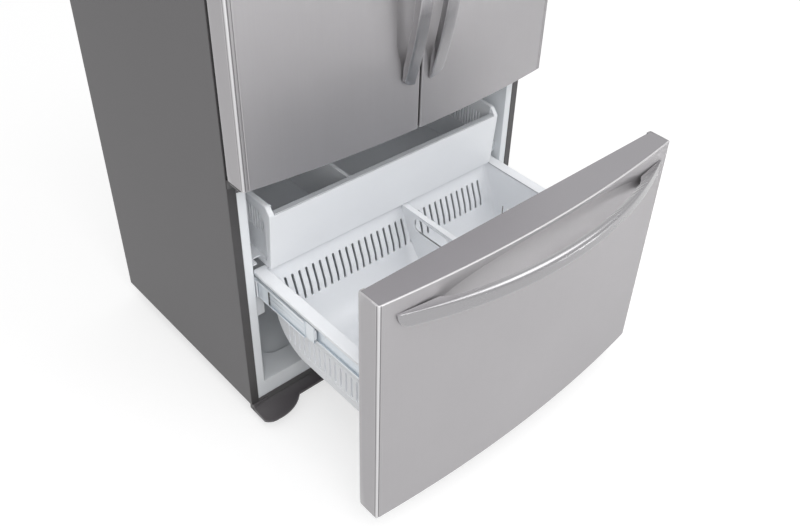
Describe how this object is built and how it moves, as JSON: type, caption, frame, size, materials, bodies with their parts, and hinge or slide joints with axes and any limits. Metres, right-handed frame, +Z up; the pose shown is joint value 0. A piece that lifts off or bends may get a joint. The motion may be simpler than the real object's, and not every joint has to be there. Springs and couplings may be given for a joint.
{
  "type": "bottom freezer refrigerator",
  "caption": "Stainless refrigerator with two curved upper doors and a bottom freezer drawer standing open over a slotted white basket and an inner drawer.",
  "frame": {"origin": "middle of the outline on the floor, open drawer and handle included", "axes": "+X right seen from the front, +Y to the back, +Z up"},
  "size_m": [0.908, 1.209, 1.772],
  "materials": {
    "side_paint": "satin grey paint",
    "stainless": "finely brushed along its length",
    "handle_steel": "brushed bar, brighter than the fronts",
    "cap_grey": "grey end caps",
    "dark_plastic": "dark grey moulded plastic",
    "dark_steel": "dark painted steel",
    "black_steel": "black paint",
    "zinc_steel": "plain grey sheet",
    "white_liner": "smooth white liner",
    "white_plastic": "smooth white plastic",
    "trim_grey": "grey trim strip",
    "seal_grey": "soft grey seal",
    "slide_steel": "bright zinc-plated slides",
    "foam": "hard foam",
    "aluminium": "bare fins",
    "clear_plastic": "clear plastic, shown pale",
    "clear_glass": "clear shelf glass"
  },
  "bodies": {
    "cabinet": {"side_panel_left": "side_paint", "side_panel_right": "side_paint", "top_panel": "side_paint", "back_panel": "zinc_steel", "base_frame": "dark_steel", "insulation": "foam", "fresh_food_liner": "white_liner", "freezer_liner": "white_liner", "crossbar": "side_paint", "base_cover": "dark_plastic", "upper_hinges": "dark_steel", "hinge_covers": "dark_plastic", "lower_hinges": "dark_steel", "compressor": "black_steel", "condenser": "black_steel", "condenser_fan_frame": "dark_plastic", "machine_cover": "zinc_steel", "evaporator": "aluminium", "evaporator_cover": "white_liner", "air_duct": "white_liner", "light_cover": "clear_plastic", "glass_shelves": "clear_glass", "crisper_cover": "clear_glass", "slide_outer_members": "slide_steel", "inner_drawer_rails": "white_liner"},
    "freezer_drawer": {"drawer_skin": "stainless", "drawer_caps": "cap_grey", "drawer_inner_panel": "white_liner", "drawer_gasket": "seal_grey", "drawer_handle": "handle_steel", "basket": "white_plastic", "slide_inner_members": "slide_steel"},
    "middle_rails": {"slide_middle_members": "slide_steel"},
    "divider": {"basket_divider": "white_plastic"},
    "pull_out_drawer": {"inner_drawer": "white_plastic", "inner_drawer_trim": "trim_grey"},
    "left_door": {"left_door_skin": "stainless", "left_door_foam": "foam", "left_door_caps": "cap_grey", "left_door_liner": "white_liner", "left_door_gasket": "seal_grey", "left_door_handle": "handle_steel", "left_door_bins": "clear_plastic"},
    "right_door": {"right_door_skin": "stainless", "right_door_foam": "foam", "right_door_caps": "cap_grey", "right_door_liner": "white_liner", "right_door_gasket": "seal_grey", "right_door_handle": "handle_steel", "right_door_bins": "clear_plastic"},
    "mullion": {"flip_mullion": "side_paint"},
    "crisper_l": {"crisper_left": "clear_plastic"},
    "crisper_r": {"crisper_right": "clear_plastic"},
    "leg_l": {"levelling_leg_left": "dark_steel"},
    "leg_r": {"levelling_leg_right": "dark_steel"},
    "rollers": {"rear_rollers": "dark_plastic"},
    "fan_condenser": {"condenser_fan": "dark_plastic"},
    "fan_evaporator": {"evaporator_fan": "white_liner"}
  },
  "joints": [
    {"name": "freezer_drawer_slide", "type": "slide", "parent": "cabinet", "child": "freezer_drawer", "axis": [0, -1, 0], "range_m": [-0.427, 0.013]},
    {"name": "middle_rail_slide", "type": "slide", "parent": "cabinet", "child": "middle_rails", "axis": [0, -1, 0], "range_m": [-0.2135, 0.0065]},
    {"name": "divider_slide", "type": "slide", "parent": "freezer_drawer", "child": "divider", "axis": [1, 0, 0], "range_m": [-0.2, 0.2]},
    {"name": "pull_out_drawer_slide", "type": "slide", "parent": "cabinet", "child": "pull_out_drawer", "axis": [0, -1, 0], "range_m": [0, 0.3]},
    {"name": "left_door_hinge", "type": "hinge", "parent": "cabinet", "child": "left_door", "pos_m": [-0.434, -0.0535, 0.755], "axis": [0, 0, -1], "range_deg": [0, 120]},
    {"name": "right_door_hinge", "type": "hinge", "parent": "cabinet", "child": "right_door", "pos_m": [0.434, -0.0535, 0.755], "axis": [0, 0, 1], "range_deg": [0, 120]},
    {"name": "mullion_hinge", "type": "hinge", "parent": "left_door", "child": "mullion", "pos_m": [-0.028, -0.008, 1.245], "axis": [0, 0, 1], "range_deg": [0, 90]},
    {"name": "left_crisper_slide", "type": "slide", "parent": "cabinet", "child": "crisper_l", "axis": [0, -1, 0], "range_m": [0, 0.19]},
    {"name": "right_crisper_slide", "type": "slide", "parent": "cabinet", "child": "crisper_r", "axis": [0, -1, 0], "range_m": [0, 0.19]},
    {"name": "left_leg_screw", "type": "hinge", "parent": "cabinet", "child": "leg_l", "pos_m": [-0.398, 0.0185, 0.03], "axis": [0, 0, 1], "continuous": true},
    {"name": "right_leg_screw", "type": "hinge", "parent": "cabinet", "child": "leg_r", "pos_m": [0.398, 0.0185, 0.03], "axis": [0, 0, 1], "continuous": true},
    {"name": "rear_roller_spin", "type": "hinge", "parent": "cabinet", "child": "rollers", "pos_m": [0, 0.5245, 0.02], "axis": [1, 0, 0], "continuous": true},
    {"name": "condenser_fan_spin", "type": "hinge", "parent": "cabinet", "child": "fan_condenser", "pos_m": [0.03, 0.5095, 0.142], "axis": [0, 1, 0], "continuous": true},
    {"name": "evaporator_fan_spin", "type": "hinge", "parent": "cabinet", "child": "fan_evaporator", "pos_m": [0, 0.4735, 0.61], "axis": [0, 1, 0], "continuous": true}
  ],
  "couplings": [
    {"joint": "middle_rail_slide", "follows": "freezer_drawer_slide", "ratio": 0.5},
    {"joint": "mullion_hinge", "follows": "left_door_hinge", "ratio": 0.75},
    {"joint": "left_crisper_slide", "follows": "left_door_hinge", "m_per_rad": 0.0907},
    {"joint": "right_crisper_slide", "follows": "right_door_hinge", "m_per_rad": 0.0907}
  ]
}
